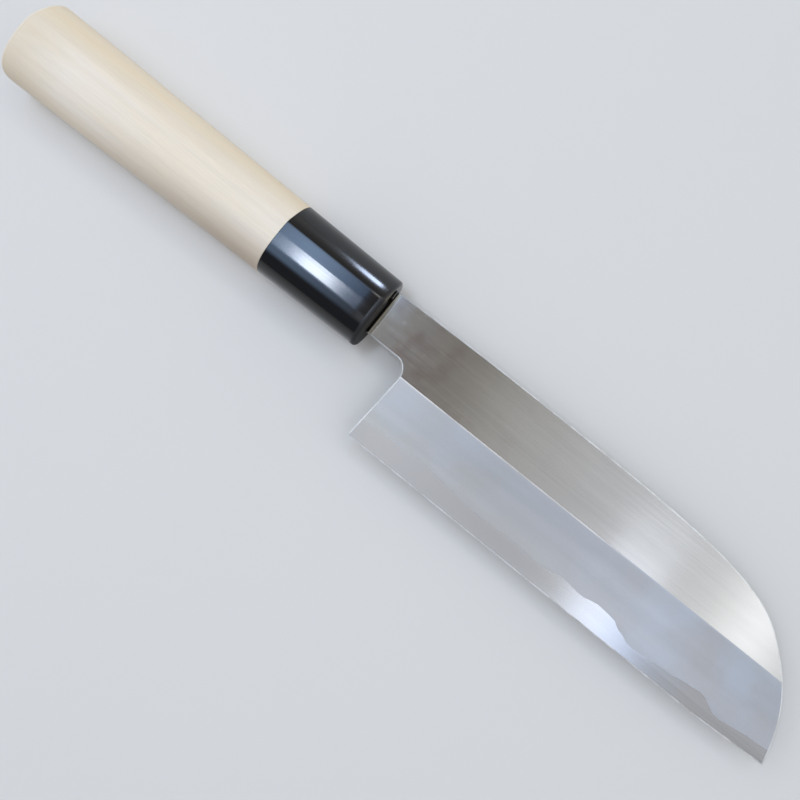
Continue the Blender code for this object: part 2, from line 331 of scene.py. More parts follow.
# The blade in one piece, before iron and steel part at the weld
def forgeBlade():
    b = blade
    bm = bmesh.new()
    back = bm.faces.new([bm.verts.new(point) for side in sides for point in side])
    bm.normal_update()
    raised = bmesh.ops.extrude_face_region(bm, geom=[back], use_keep_orig=True)["geom"]
    top = next(item for item in raised if isinstance(item, bmesh.types.BMFace))
    bmesh.ops.translate(bm, vec=(0, 0, b["shoulderThickness"]), verts=top.verts)
    bmesh.ops.recalc_face_normals(bm, faces=bm.faces)
    for face in (top, back):
        inset = 0
        for reach in b["easing"]:
            step = reach - inset
            bmesh.ops.inset_region(bm, faces=[face], thickness=step, use_even_offset=True)
            inset = reach
    # cuts across and along the blade, so that its faces can follow the grinding
    stations = [b["station"] * i for i in range(1, int(b["length"] / b["station"]))]
    stations += [weld["setback"], b["heel"] + hollow["heelRim"], b["length"] - hollow["tipRim"]]
    cutAt(bm, stations + list(b["seat"]), Vector((1, 0, 0)))
    lowest = hollow["edgeRim"] - b["edgeDepth"]
    count = int((b["spineHeight"] - lowest) / b["row"]) + 1
    rows = [lowest + b["row"] * i for i in range(count)]
    rows += [ridgeY, ridgeY - b["ridgeRounding"], ridgeY + b["ridgeRounding"]]
    cutAt(bm, rows, Vector((0, 1, 0)))
    bmesh.ops.remove_doubles(bm, verts=bm.verts, dist=b["weldedPoints"])
    half = b["shoulderThickness"] / 2
    topFaces = [face for face in bm.faces if min(vert.co.z for vert in face.verts) > half]
    backFaces = [face for face in bm.faces if max(vert.co.z for vert in face.verts) < half]
    scribe(bm, topFaces, cloudAt)
    scribe(bm, backFaces, lambda x: heightOf(spineLine, x) - hollow["spineRim"])
    for vert in bm.verts:
        x, y, z = vert.co
        vert.co.z = topHeight(x, y) if z > half else backHeight(x, y)
    bm.normal_update()
    # the weld's line round the blade's thickness
    walls = [
        face for face in bm.faces
        if abs(face.normal.z) < wallLean and face.calc_center_median().x > weld["setback"]
    ]
    parts = dict.fromkeys(part for face in walls for part in face.verts[:] + face.edges[:])
    bmesh.ops.bisect_plane(
        bm, geom=walls + list(parts), dist=b["onCut"],
        plane_co=(0, 0, weld["heelThickness"]), plane_no=(-weldSlope, 0, 1),
    )
    bm.normal_update()
    return bm


def isSteel(face):
    middle = face.calc_center_median()
    if middle.x < weld["setback"]:
        return False
    if face.normal.z < -wallLean:
        return True
    if face.normal.z > wallLean:
        return middle.y < cloudAt(middle.x)
    return middle.z < weldHeight(middle.x)


# Keeps the faces of one metal and closes it along the weld.
def partAtWeld(bm, steel):
    gone = [face for face in bm.faces if isSteel(face) != steel]
    bmesh.ops.delete(bm, geom=gone, context="FACES")
    rim = [edge for edge in bm.edges if edge.is_boundary]

    def atSetback(vert):
        return abs(vert.co.x - weld["setback"]) < atPlace

    halfWeld = weld["tipThickness"] / 2
    step = [edge for edge in rim if all(atSetback(vert) for vert in edge.verts)]
    seam = [edge for edge in rim if edge not in step]
    corners = [
        vert for edge in rim for vert in edge.verts if atSetback(vert) and vert.co.z > halfWeld
    ]
    bridge = bm.edges.new(list(dict.fromkeys(corners)))
    bmesh.ops.edgeloop_fill(bm, edges=step + [bridge])
    joint = bmesh.ops.edgeloop_fill(bm, edges=seam + [bridge])["faces"]
    # inside its rim the joint lies a little deeper, so that it never breaks through the bevel
    bmesh.ops.inset_region(bm, faces=joint, thickness=weld["rim"], use_even_offset=True)
    for vert in joint[0].verts:
        x, y, _ = vert.co
        vert.co.z = min(weldHeight(x), topHeight(x, y) - weld["rimDrop"])
    bmesh.ops.recalc_face_normals(bm, faces=bm.faces)


tang = {
    "length": 80.0,
    "rootHeight": 10.5,
    "endHeight": 5.0,
    "rootThickness": 2.6,
    "endThickness": 2.0,
}


# The tang grows out of the shoulder and tapers to its end.
def drawTang(bm):
    t = tang
    root = [face for face in bm.faces if face.calc_center_median().x < atPlace]
    ledge = (blade["shoulderThickness"] - t["rootThickness"]) / 2
    bmesh.ops.inset_region(bm, faces=root, thickness=ledge)
    verts = list(dict.fromkeys(vert for face in root for vert in face.verts))
    lows = Vector(min(vert.co[i] for vert in verts) for i in range(3))
    highs = Vector(max(vert.co[i] for vert in verts) for i in range(3))
    middle = (lows + highs) / 2
    size = highs - lows
    bmesh.ops.scale(
        bm, verts=verts, space=Matrix.Translation(-middle),
        vec=(1, t["rootHeight"] / size.y, t["rootThickness"] / size.z),
    )
    bmesh.ops.translate(bm, verts=verts, vec=(0, -middle.y, axisHeight - middle.z))
    end = bmesh.ops.extrude_face_region(bm, geom=root)["geom"]
    bmesh.ops.delete(bm, geom=root, context="FACES")
    endVerts = [item for item in end if isinstance(item, bmesh.types.BMVert)]
    bmesh.ops.scale(
        bm, verts=endVerts, space=Matrix.Translation((0, 0, -axisHeight)),
        vec=(1, t["endHeight"] / t["rootHeight"], t["endThickness"] / t["rootThickness"]),
    )
    bmesh.ops.translate(bm, verts=endVerts, vec=(-t["length"], 0, 0))
    bmesh.ops.recalc_face_normals(bm, faces=bm.faces)


# Smooth faces, with crisp edges from these angles: a small one between broad faces,
# which keep even small turns crisp, as stones leave them, and a larger one for the walls
def crispEdges(bm, broad, walls):
    for face in bm.faces:
        face.smooth = True
    for edge in bm.edges:
        flat = all(abs(face.normal.z) > broadLean for face in edge.link_faces)
        edge.smooth = edge.calc_face_angle(0) < math.radians(broad if flat else walls)


# An sRGB hex colour as linear light
def linear(colour):
    channels = [int(colour[i:i + 2], 16) / 255 for i in (1, 3, 5)]
    return tuple(
        c / 12.92 if c <= 0.04045 else ((c + 0.055) / 1.055) ** 2.4 for c in channels
    ) + (1,)


# Gives a node its inputs, by name or in the order of those in use. An input is a value, a
# hex colour, a socket, or another node, whose first output in use is taken.
def feed(tree, node, inputs):
    sockets = [socket for socket in node.inputs if socket.enabled]
    if isinstance(inputs, dict):
        sockets = [node.inputs[name] for name in inputs]
        inputs = inputs.values()
    for socket, value in zip(sockets, inputs):
        if isinstance(value, bpy.types.Node):
            value = next(output for output in value.outputs if output.enabled)
        if isinstance(value, bpy.types.NodeSocket):
            tree.links.new(value, socket)
        else:
            socket.default_value = linear(value) if isinstance(value, str) else value


def addNode(tree, kind, inputs=(), **settings):
    node = tree.nodes.new("ShaderNode" + kind)
    for name, value in settings.items():
        setattr(node, name, value)
    feed(tree, node, inputs)
    return node


# Every pattern reads its place on the knife in millimetres.
def newMaterial(name, metallic, roughness, ior=1.5):
    material = bpy.data.materials.new(name)
    material.use_nodes = True
    tree = material.node_tree
    shader = tree.nodes["Principled BSDF"]
    feed(tree, shader, {"Metallic": metallic, "Roughness": roughness, "IOR": ior})
    spot = addNode(tree, "Mapping", {
        "Vector": addNode(tree, "TexCoord").outputs["Object"],
        "Location": -metre * shoulder, "Scale": (metre, metre, metre),
    })
    return material, tree, shader, spot


# In the looks below, sizes are in mm. A pattern is its size along x, y and z, its detail
# and, where it is given, its roughness. Four numbers read: while a pattern or a place goes
# from the first to the second, a value goes from the third to the fourth. Where there are
# two, the value goes from 0 to 1.

# An uneven pattern: grinding marks, fibres, patches or powder, by its size
def unevenness(tree, spot, size, detail, roughness=0.5):
    sized = addNode(tree, "Mapping", {"Vector": spot, "Scale": [1 / mm for mm in size]})
    return addNode(tree, "TexNoise", {
        "Vector": sized, "Scale": 1, "Detail": detail, "Roughness": roughness,
    })


# A pattern that makes a colour darker and lighter
def shadeBy(tree, colour, pattern, shades):
    level = addNode(tree, "MapRange", [pattern, *shades])
    return addNode(tree, "Mix", [1, colour, level], data_type="RGBA", blend_type="MULTIPLY")


# A share that comes in along x, across y, or where both do
def shareAt(tree, spot, along, across):
    split = addNode(tree, "SeparateXYZ", [spot])
    shares = [
        addNode(tree, "MapRange", [split.outputs[axis], *span])
        for axis, span in (("X", along), ("Y", across)) if span
    ]
    if len(shares) == 1:
        return shares[0]
    return addNode(tree, "Math", shares, operation="MULTIPLY")


# Lays tints over places of a colour. A place says where its tint comes in along x and
# across y, how the tint blends, and its colour.
def tintPlaces(tree, spot, colour, places):
    for along, across, blend, tint in places:
        share = shareAt(tree, spot, along, across)
        colour = addNode(tree, "Mix", [share, colour, tint], data_type="RGBA", blend_type=blend)
    return colour


def fillRamp(ramp, stops):
    while len(ramp.elements) < len(stops):
        ramp.elements.new(1)
    while len(ramp.elements) > len(stops):
        ramp.elements.remove(ramp.elements[-1])
    for element, (place, colour, strength) in zip(ramp.elements, stops):
        element.position = place
        element.color = colour[:3] + (strength,)


# Colours along the blade, over a length from the shoulder: place, colour and strength
def coloursAlong(tree, spot, length, stops):
    share = shareAt(tree, spot, (0, length), None)
    along = addNode(tree, "ValToRGB", [share])
    fillRamp(along.color_ramp, [(x / length, linear(colour), cover) for x, colour, cover in stops])
    return along


groundIronLook = {
    "iron": "#BBB9B5",
    "anisotropy": 0.9,
    "grindTurn": 0.25,
    "marks": ((25, 0.3, 1), 2),    # drawn coarser than real belt marks, so that they show
    "markShades": (0.3, 0.7, 0.975, 1.025),
    "markRoughness": (0.3, 0.7, 0.145, 0.185),
    "markBump": (0.03, 0.00001),    # a bump is its strength and its depth in metres
    "passes": ((30, 5, 1), 4, 0.6),    # of the blade over the belt
    "passShades": (0.3, 0.7, 0.96, 1.04),
    "towardsNeck": (62, 12),
    "bloom": "#A08F8A",
    "bloomPatches": ((7, 7, 7), 4),
    "bloomCover": (0.48, 0.75, 0, 0.55),
    # the neck: darker and browner low down beside the ferrule, and a little warmer all over
    "places": [
        ((7, 2), (6, 0, 0, 0.75), "MIX", "#9C8C76"),
        ((13, 8), None, "MULTIPLY", "#FFFBF2"),
    ],
    "fleck": "#DCCFC0",
    "fleckSpacing": 3.2,
    "fleckRim": (0.11, 0.03),    # shares of the spacing
    "fleckCover": (0.6, 1.0, 0, 0.16),
    "dullRoughness": 0.6,    # of the flecks and of the strip beside the ferrule
    # beside the ferrule: mm from the shoulder, colour, how much it covers the ground iron
    "neckStrip": 2,
    "neckLinesAndShade": [
        # painted shade: the dark band nearest the shoulder stands for the gap at the ferrule, on
        # unground iron
        (0.0, "#2A2823", 1.0), (0.36, "#34312A", 1.0), (0.52, "#B5AF9C", 0.9),
        (1.0, "#C9C3B2", 0.7), (1.14, "#4A463C", 0.5), (1.34, "#4A463C", 0.6),
        (1.5, "#B5AF9C", 0.0),
    ],
}


# Soft iron, ground lengthwise on a belt: a fine lengthwise grain that throws reflections
# wide across the grinding marks, with small pale flecks and a faint brownish bloom towards
# the neck. A strip beside the ferrule is left unground; its dark band at the shoulder is
# also painted shade of the gap at the ferrule.
def groundIron():
    look = groundIronLook
    material, tree, shader, spot = newMaterial("groundIron", metallic=1, roughness=0.25)
    marks = unevenness(tree, spot, *look["marks"])
    passes = unevenness(tree, spot, *look["passes"])
    neckShare = shareAt(tree, spot, look["towardsNeck"], None)

    patches = unevenness(tree, spot, *look["bloomPatches"])
    bloom = addNode(tree, "MapRange", [patches, *look["bloomCover"]])
    bloom = addNode(tree, "Math", [bloom, neckShare], operation="MULTIPLY")
    colour = addNode(tree, "Mix", [bloom, look["iron"], look["bloom"]], data_type="RGBA")
    colour = tintPlaces(tree, spot, colour, look["places"])
    colour = shadeBy(tree, colour, marks, look["markShades"])
    colour = shadeBy(tree, colour, passes, look["passShades"])

    cells = addNode(
        tree, "TexVoronoi", {"Vector": spot, "Scale": 1 / look["fleckSpacing"]},
        voronoi_dimensions="2D",
    )
    fleck = addNode(tree, "MapRange", [cells, *look["fleckRim"]])
    chance = addNode(tree, "SeparateXYZ", [cells.outputs["Color"]])
    chosen = addNode(tree, "MapRange", [chance, *look["fleckCover"]])
    fleck = addNode(tree, "Math", [fleck, chosen], operation="MULTIPLY")
    fleck = addNode(tree, "Math", [fleck, neckShare], operation="MULTIPLY")
    colour = addNode(tree, "Mix", [fleck, colour, look["fleck"]], data_type="RGBA")

    neck = coloursAlong(tree, spot, look["neckStrip"], look["neckLinesAndShade"])
    colour = addNode(tree, "Mix", [neck.outputs["Alpha"], colour, neck], data_type="RGBA")
    rough = addNode(tree, "MapRange", [marks, *look["markRoughness"]])
    dull = addNode(tree, "Math", [fleck, neck.outputs["Alpha"]], operation="MAXIMUM")
    rough = addNode(tree, "Mix", [dull, rough, look["dullRoughness"]])
    strength, depth = look["markBump"]
    bump = addNode(tree, "Bump", {"Height": marks, "Strength": strength, "Distance": depth})
    feed(tree, shader, {
        "Base Color": colour, "Roughness": rough, "Normal": bump,
        "Anisotropic": look["anisotropy"], "Anisotropic Rotation": look["grindTurn"],
        "Tangent": addNode(tree, "Tangent", direction_type="UV_MAP", uv_map="grind"),
    })
    return material


mistedIronLook = {
    "heel": "#B9B5AE",
    "nose": "#BEC4CC",
    "towardsNose": (15, 125),
    "cloud": "#BBBBBC",
    "clouds": ((14, 14, 14), 4),
    "cloudCover": (0.35, 0.65),
    "cloudRoughness": (0.3, 0.7, 0.33, 0.39),
    # a little warmer low on the bevel away from the nose, and high on it at the heel
    "places": [
        ((110, 60), (-12, -24), "MULTIPLY", "#FFFAF2"),
        ((44, 14), (-23, -10), "MULTIPLY", "#FBF6EE"),
    ],
    "edgeToRidge": (-24, -10, 0.98, 0.845),
    "strokes": ((60, 4, 1), 3),
    "strokeShades": (0.3, 0.7, 0.955, 1.045),
    "grit": ((0.25, 0.25, 0.25), 2),    # drawn coarser than real stone powder, so that it shows
    "gritShades": (0.3, 0.7, 0.97, 1.03),
    "gritBump": (0.08, 0.00001),
}


# Soft iron on the bevel, rubbed with a fine stone slurry: an even, misty blue-grey
def mistedIron():
    look = mistedIronLook
    material, tree, shader, spot = newMaterial("mistedIron", metallic=1, roughness=0.45)
    clouds = unevenness(tree, spot, *look["clouds"])
    cloud = addNode(tree, "MapRange", [clouds, *look["cloudCover"]])
    along = shareAt(tree, spot, look["towardsNose"], None)
    colour = addNode(tree, "Mix", [along, look["heel"], look["nose"]], data_type="RGBA")
    colour = addNode(tree, "Mix", [cloud, colour, look["cloud"]], data_type="RGBA")
    colour = tintPlaces(tree, spot, colour, look["places"])
    level = shareAt(tree, spot, None, look["edgeToRidge"])
    colour = addNode(tree, "Mix", [1, colour, level], data_type="RGBA", blend_type="MULTIPLY")
    strokes = unevenness(tree, spot, *look["strokes"])
    colour = shadeBy(tree, colour, strokes, look["strokeShades"])
    grit = unevenness(tree, spot, *look["grit"])
    colour = shadeBy(tree, colour, grit, look["gritShades"])
    strength, depth = look["gritBump"]
    feed(tree, shader, {
        "Base Color": colour,
        "Roughness": addNode(tree, "MapRange", [clouds, *look["cloudRoughness"]]),
        "Normal": addNode(tree, "Bump", {"Height": grit, "Strength": strength, "Distance": depth}),
    })
    return material


edgeWearAndHighlightLook = {
    # painted highlight: colours near white on the eased edges
    "rubbedAndHighlight": ("#D2D0CB", "#F2F1EE"),
    "patches": ((4, 4, 4), 4),
    "patchCover": (0.35, 0.65),
    "patchRoughness": (0.3, 0.7, 0.55, 0.65),
    # the painted highlight's brightness along the spine, beside the neck and above the heel
    "spineHighlight": (25, 85, 0.8, 1.05),
    "neckHighlight": (2, 8, 0.7, 1),
    "heelHighlight": 0.95,
    "aboveHeel": (-14, -8),
}


# The eased edges of the iron, burnished by use and coloured near white as a painted highlight, so
# that they look lit from all sides
def edgeWearAndHighlight():
    look = edgeWearAndHighlightLook
    material, tree, shader, spot = newMaterial("edgeWearAndHighlight", metallic=1, roughness=0.6)
    patches = unevenness(tree, spot, *look["patches"])
    share = addNode(tree, "MapRange", [patches, *look["patchCover"]])
    colour = addNode(tree, "Mix", [share, *look["rubbedAndHighlight"]], data_type="RGBA")
    spineHighlight = shareAt(tree, spot, look["spineHighlight"], None)
    neckHighlight = shareAt(tree, spot, look["neckHighlight"], None)
    highlightLevel = addNode(tree, "Math", [spineHighlight, neckHighlight], operation="MULTIPLY")
    above = shareAt(tree, spot, None, look["aboveHeel"])
    level = addNode(tree, "Mix", [above, look["heelHighlight"], highlightLevel])
    colour = addNode(tree, "Mix", [1, colour, level], data_type="RGBA", blend_type="MULTIPLY")
    feed(tree, shader, {
        "Base Color": colour,
        "Roughness": addNode(tree, "MapRange", [patches, *look["patchRoughness"]]),
    })
    return material


ridgeWearAndHighlightLook = {
    "rubbedAndHighlight": ("#BAB4AC", "#D2CCC4"),
    "patches": ((9, 9, 9), 4),
    "patchCover": (0.35, 0.65),
    # painted highlight, brightest before it fades to the bevel's own tone
    "highlightPeak": ((58, 74, 0, 0.45), None, "MIX", "#E6E2DC"),
    "fade": (79, 94),
    "faded": "#B0B3B8",
    "fadeRoughness": (0.52, 0.36),
}


# The ridge between flat and bevel, rubbed by the stone and coloured bright as a painted highlight
# that fades towards the nose
def ridgeWearAndHighlight():
    look = ridgeWearAndHighlightLook
    material, tree, shader, spot = newMaterial("ridgeWearAndHighlight", metallic=1, roughness=0.5)
    patches = unevenness(tree, spot, *look["patches"])
    share = addNode(tree, "MapRange", [patches, *look["patchCover"]])
    colour = addNode(tree, "Mix", [share, *look["rubbedAndHighlight"]], data_type="RGBA")
    places = [look["highlightPeak"], (look["fade"], None, "MIX", look["faded"])]
    feed(tree, shader, {
        "Base Color": tintPlaces(tree, spot, colour, places),
        "Roughness": shareAt(tree, spot, look["fade"] + look["fadeRoughness"], None),
    })
    return material


polishedSteelLook = {
    # mm from the shoulder and colour there: warm at the heel, and towards the nose a cold blue
    # sheen that is a painted reflection
    "tones": [
        (14, "#C8C5C0", 1), (30, "#C3C3C2", 1), (70, "#C2C3C2", 1),
        (80, "#C0C0BC", 1), (90, "#C7C8C8", 1), (98, "#C6CBD1", 1),
        (105, "#C6CDD8", 1), (114, "#C2C7CC", 1), (125, "#C2C2C2", 1),
    ],
    "marks": ((24, 0.9, 1), 1),    # drawn coarser than the real polishing marks
    "markShades": (0.3, 0.7, 0.988, 1.012),
    "markRoughness": (0.3, 0.7, 0.155, 0.18),
}


# Hard carbon steel, polished with the bevel: clearer than the iron above it
def polishedSteel():
    look = polishedSteelLook
    material, tree, shader, spot = newMaterial("polishedSteel", metallic=1, roughness=0.2)
    marks = unevenness(tree, spot, *look["marks"])
    tones = coloursAlong(tree, spot, blade["length"], look["tones"])
    feed(tree, shader, {
        "Base Color": shadeBy(tree, tones, marks, look["markShades"]),
        "Roughness": addNode(tree, "MapRange", [marks, *look["markRoughness"]]),
    })
    return material


polishedHornLook = {
    "horn": "#070709",
    "streak": "#16130F",
    "fibres": ((18, 0.6, 0.6), 5, 0.6),
    "fibreCover": (0.5, 0.8),
    "fibreRoughness": (0.3, 0.7, 0.09, 0.13),
    "fibreBump": (0.15, 0.00002),
    "dullFront": (-1.8, -1.0),    # the front rim below the ridge, worn matt
    "dullBelow": (4.5, 2.5),
    "dullRoughness": 0.68,
}


# Black buffalo horn, turned and polished: near black, with faint lengthwise fibres
# that break up its gloss
def polishedHorn():
    look = polishedHornLook
    material, tree, shader, spot = newMaterial("polishedHorn", metallic=0, roughness=0.11, ior=1.55)
    fibres = unevenness(tree, spot, *look["fibres"])
    streak = addNode(tree, "MapRange", [fibres, *look["fibreCover"]])
    rough = addNode(tree, "MapRange", [fibres, *look["fibreRoughness"]])
    dull = shareAt(tree, spot, look["dullFront"], look["dullBelow"])
    strength, depth = look["fibreBump"]
    feed(tree, shader, {
        "Base Color": addNode(
            tree, "Mix", [streak, look["horn"], look["streak"]], data_type="RGBA",
        ),
        "Roughness": addNode(tree, "Mix", [dull, rough, look["dullRoughness"]]),
        "Normal": addNode(
            tree, "Bump", {"Height": fibres, "Strength": strength, "Distance": depth},
        ),
    })
    return material


sandedMagnoliaLook = {
    "pale": "#EDE2D2",
    "cream": "#EBD8B8",
    "creamSide": (2, 9, 0, 0.5),
    "tones": ((90, 7, 7), 2),
    "toneCover": (0.35, 0.65, 0, 0.6),
    "late": "#D6C9B2",
    "lateCover": (0.55, 1.0, 0, 0.12),
    "pith": (0, 46, 30),         # the rings' centre runs this far out on the edge's side, and below
    "ringStretch": 0.12,         # along the grain the rings run out slowly
    "ringSpacing": 2.4,
    "ringDistortion": 1.5,
    "ringDetail": (2, 0.4),
    # painted shade low down towards the ferrule and, below the ridge, towards the butt; a painted
    # highlight on the cut end
    "places": [
        # painted shade on the lower side, towards the ferrule
        ((-95, -40, 0.2, 1), (-2, -10, 0, 0.76), "MIX", "#AE9C84"),
        # painted shade below the ridge, towards the butt
        ((-102, -116, 0, 0.62), (7, 1, 0.3, 1), "MIX", "#DCCBAE"),
        # painted highlight on the rounding of the cut end
        ((-119.7, -120.5, 0, 0.7), None, "MIX", "#F5ECDD"),
    ],
    "pores": ((9, 0.35, 0.35), 4, 0.6),
    "poreShades": (0.3, 0.7, 0.95, 1.02),
    "poreRoughness": (0.3, 0.7, 0.44, 0.56),
    "poreBump": (0.25, 0.00004),
}
waveRepeat = 0.314    # how far apart the wave pattern's rings lie at a scale of 1


# Magnolia wood, sanded and left bare: faint, straight growth lines and short pores
def sandedMagnolia():
    look = sandedMagnoliaLook
    material, tree, shader, spot = newMaterial(
        "sandedMagnolia", metallic=0, roughness=0.5, ior=1.45,
    )
    pith = addNode(tree, "Mapping", {
        "Vector": spot, "Location": look["pith"], "Scale": (look["ringStretch"], 1, 1),
    })
    detail, detailScale = look["ringDetail"]
    rings = addNode(tree, "TexWave", {
        "Vector": pith, "Scale": waveRepeat / look["ringSpacing"],
        "Distortion": look["ringDistortion"], "Detail": detail, "Detail Scale": detailScale,
    }, wave_type="RINGS", rings_direction="X")
    pores = unevenness(tree, spot, *look["pores"])
    tones = unevenness(tree, spot, *look["tones"])
    tone = addNode(tree, "MapRange", [tones, *look["toneCover"]])
    side = shareAt(tree, spot, None, look["creamSide"])
    tone = addNode(tree, "Math", [tone, side], operation="ADD", use_clamp=True)
    colour = addNode(tree, "Mix", [tone, look["pale"], look["cream"]], data_type="RGBA")
    late = addNode(tree, "MapRange", [rings.outputs["Fac"], *look["lateCover"]])
    colour = addNode(tree, "Mix", [late, colour, look["late"]], data_type="RGBA")
    colour = tintPlaces(tree, spot, colour, look["places"])
    strength, depth = look["poreBump"]
    feed(tree, shader, {
        "Base Color": shadeBy(tree, colour, pores, look["poreShades"]),
        "Roughness": addNode(tree, "MapRange", [pores, *look["poreRoughness"]]),
        "Normal": addNode(tree, "Bump", {"Height": pores, "Strength": strength, "Distance": depth}),
    })
    return material


def nearOutline(face):
    middle = face.calc_center_median()
    near = distanceTo(outline, middle.x, middle.y) < blade["easing"][1]
    return face.normal.z > wallLean and middle.x > 0 and near


def makeBlade():
    steel = forgeBlade()
    iron = steel.copy()
    partAtWeld(iron, steel=False)
    partAtWeld(steel, steel=True)
    drawTang(iron)
    for metal in (iron, steel):
        crispEdges(metal, blade["broadCrease"], blade["wallCrease"])
    onBevel, onEdge, onRidge = 1, 2, 3    # their places among the iron's metals
    for face in iron.faces:
        y = face.calc_center_median().y
        broad = face.normal.z > broadLean
        if nearOutline(face):
            face.material_index = onEdge
        elif broad and abs(y - ridgeY) < blade["ridgeRounding"]:
            face.material_index = onRidge
        elif broad and y < ridgeY:
            face.material_index = onBevel
    for face in steel.faces:
        face.material_index = int(nearOutline(face))
    edge = edgeWearAndHighlight()
    metals = [groundIron(), mistedIron(), edge, ridgeWearAndHighlight()]
    finishPiece(iron, "softIronBody", "soft_iron_body", metals)
    metals = [polishedSteel(), edge]
    finishPiece(steel, "hardSteelLayer", "hard_steel_layer", metals)


# Both pieces of the handle are rings of points, drawn out along its axis.
handle = {
    "length": 121.0,
    "ferruleLength": 32.7,
    "buttHeight": 25.2,
    "frontHeight": 21.3,
    "buttThickness": 21.4,
    "frontThickness": 18.3,
    "ferruleRounding": 1.0,
    "buttRounding": 1.4,
    "bevelSideShare": 0.54,    # of the thickness, on the bevelled side of the axis
    "spineFullness": 1.71,     # of the section's quarters: 2 is round, more is squarer
    "edgeFullness": 2.75,
    "backFullness": 2.2,
    "ridgePlace": 0.355,
    "ridgeRise": 0.5,
    "ridgeSpread": 4.2,
    "hornRidgeRounding": 0.2,
    "woodRidgeRounding": 0.5,
    "tenonDiameter": 14.0,
    "tenonLength": 21.0,
    "tenonChamfer": 0.5,
    "gap": 0.3,
    "holeRoom": 2.0,
    "jointEasing": 0.09,
    "ringPoints": 180,
    "roundingSteps": 8,
    "station": 4.0,
    "weldedPoints": 1e-4,
    "crease": 20,              # degrees from which an edge is crisp
}


def handleSize(x):
    share = -x / handle["length"]
    height = handle["frontHeight"] + (handle["buttHeight"] - handle["frontHeight"]) * share
    front, butt = handle["frontThickness"], handle["buttThickness"]
    return height, front + (butt - front) * share


# The handle's D section at x, drawn in by an inset. Turns start at the spine's side.
def sectionRing(x, inset, ridgeRounding):
    h = handle
    height, thickness = handleSize(x)
    half = height / 2 - inset

    def place(turn):
        up, out = math.cos(turn), math.sin(turn)
        if out < 0:
            depth, fullness = thickness * (1 - h["bevelSideShare"]), h["backFullness"]
        else:
            depth = thickness * h["bevelSideShare"]
            fullness = h["edgeFullness"] if up < 0 else h["spineFullness"]
        y = math.copysign(abs(up) ** (2 / fullness), up) * half
        z = math.copysign(abs(out) ** (2 / fullness), out) * (depth - inset)
        away = math.hypot(y - h["ridgePlace"] * half, ridgeRounding) / h["ridgeSpread"]
        if out > 0 and away < 1:
            z += h["ridgeRise"] * (1 - away) ** 2
        return Vector((x, y, z + axisHeight))

    return place


def roundRing(x, diameter):
    def place(turn):
        y, z = math.cos(turn) * diameter / 2, math.sin(turn) * diameter / 2
        return Vector((x, y, z + axisHeight))

    return place


# A rectangle with the tang's size at x and room round it
def tangRing(x, room):
    t = tang
    share = min(max(-x / t["length"], 0), 1)
    halfHeight = (t["rootHeight"] + (t["endHeight"] - t["rootHeight"]) * share) / 2 + room
    rootHalf, endHalf = t["rootThickness"] / 2, t["endThickness"] / 2
    halfThickness = rootHalf + (endHalf - rootHalf) * share + room

    def place(turn):
        up, out = math.cos(turn), math.sin(turn)
        reach = 1 / max(abs(up) / halfHeight, abs(out) / halfThickness)
        return Vector((x, up * reach, out * reach + axisHeight))

    return place


def roundedEnd(x, outwards, radius, ridgeRounding):
    rings = []
    for i in range(handle["roundingSteps"] + 1):
        angle = math.pi / 2 * i / handle["roundingSteps"]
        back = outwards * radius * (1 - math.sin(angle))
        rings.append(sectionRing(x - back, radius * (1 - math.cos(angle)), ridgeRounding))
    return rings


def straightRun(start, end, ridgeRounding):
    count = max(1, round(abs(end - start) / handle["station"]))
    places = [start + (end - start) * i / count for i in range(count + 1)]
    return [sectionRing(x, 0, ridgeRounding) for x in places]


# Draws one ring of points out into a skin that passes through every shape in turn.
def loft(shapes, closed):
    bm = bmesh.new()
    count = handle["ringPoints"]
    turns = [2 * math.pi * i / count for i in range(count)]
    ring = bmesh.ops.create_circle(bm, radius=1, segments=count)["verts"]
    for vert, turn in zip(ring, turns):
        vert.co = shapes[0](turn)
    firstEdges = edges = bm.edges[:]
    for shape in shapes[1:] + shapes[:1] * closed:
        drawn = bmesh.ops.extrude_edge_only(bm, edges=edges)["geom"]
        fresh = {item for item in drawn if isinstance(item, bmesh.types.BMVert)}
        following = []
        for vert, turn in zip(ring, turns):
            ends = [edge.other_vert(vert) for edge in vert.link_edges]
            partner = next(end for end in ends if end in fresh)
            partner.co = shape(turn)
            following.append(partner)
        ring = following
        edges = [edge for edge in bm.edges if all(vert in fresh for vert in edge.verts)]
    if closed:
        bmesh.ops.remove_doubles(bm, verts=bm.verts, dist=handle["weldedPoints"])
    else:
        for end in (firstEdges, edges):
            bmesh.ops.edgeloop_fill(bm, edges=end)
    bmesh.ops.recalc_face_normals(bm, faces=bm.faces)
    crispEdges(bm, handle["crease"], handle["crease"])
    return bm


def makeFerrule():
    h = handle
    front, rear = -h["gap"], -h["ferruleLength"]
    bore = h["tenonDiameter"] + 2 * h["gap"]
    boreEnd = rear + h["tenonLength"] + h["gap"]
    rounding = h["hornRidgeRounding"]
    ease = h["jointEasing"]
    shapes = [roundRing(rear, bore), sectionRing(rear, ease, rounding)]
    shapes += straightRun(rear + ease, front - h["ferruleRounding"], rounding)
    shapes += roundedEnd(front, 1, h["ferruleRounding"], rounding)[1:]
    shapes += [tangRing(front, h["gap"]), tangRing(boreEnd, h["gap"]), roundRing(boreEnd, bore)]
    finishPiece(loft(shapes, True), "hornFerrule", "horn_ferrule", [polishedHorn()])


